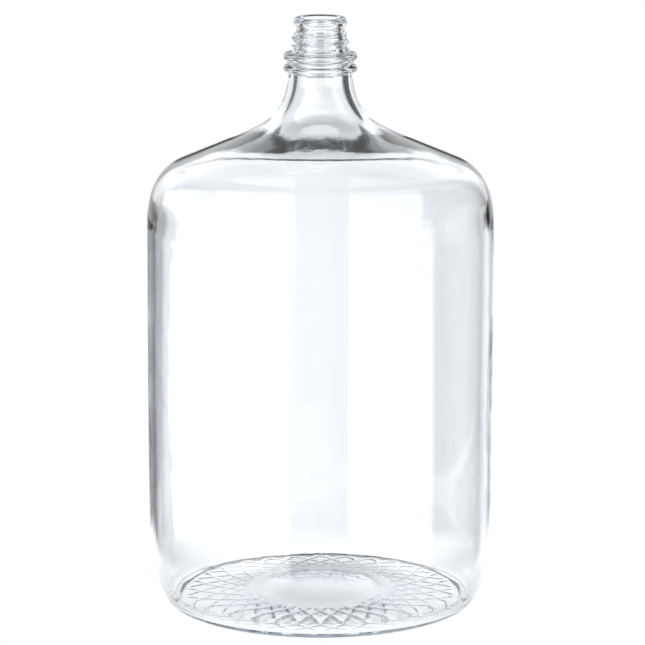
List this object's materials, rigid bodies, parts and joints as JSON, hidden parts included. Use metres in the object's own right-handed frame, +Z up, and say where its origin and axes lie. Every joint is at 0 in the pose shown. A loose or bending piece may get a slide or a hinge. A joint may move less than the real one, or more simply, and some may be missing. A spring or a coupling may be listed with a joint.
{
  "type": "glass carboy",
  "caption": "Tall round clear glass bottle with a low conical shoulder, narrow ringed neck, short thread, beaded lip and pushed-up base, for fermenting and ageing beer or wine.",
  "frame": {"origin": "centre of the standing ring, on the ground plane", "axes": "+Z up through the mouth; +X to the right seen from the front, -Y towards the front"},
  "size_m": [0.276, 0.276, 0.471],
  "materials": {
    "glass": "clear, fire-polished, very slightly blue-green, faint waves from the mould"
  },
  "bodies": {
    "root": {"glass_carboy": "glass"}
  },
  "joints": []
}
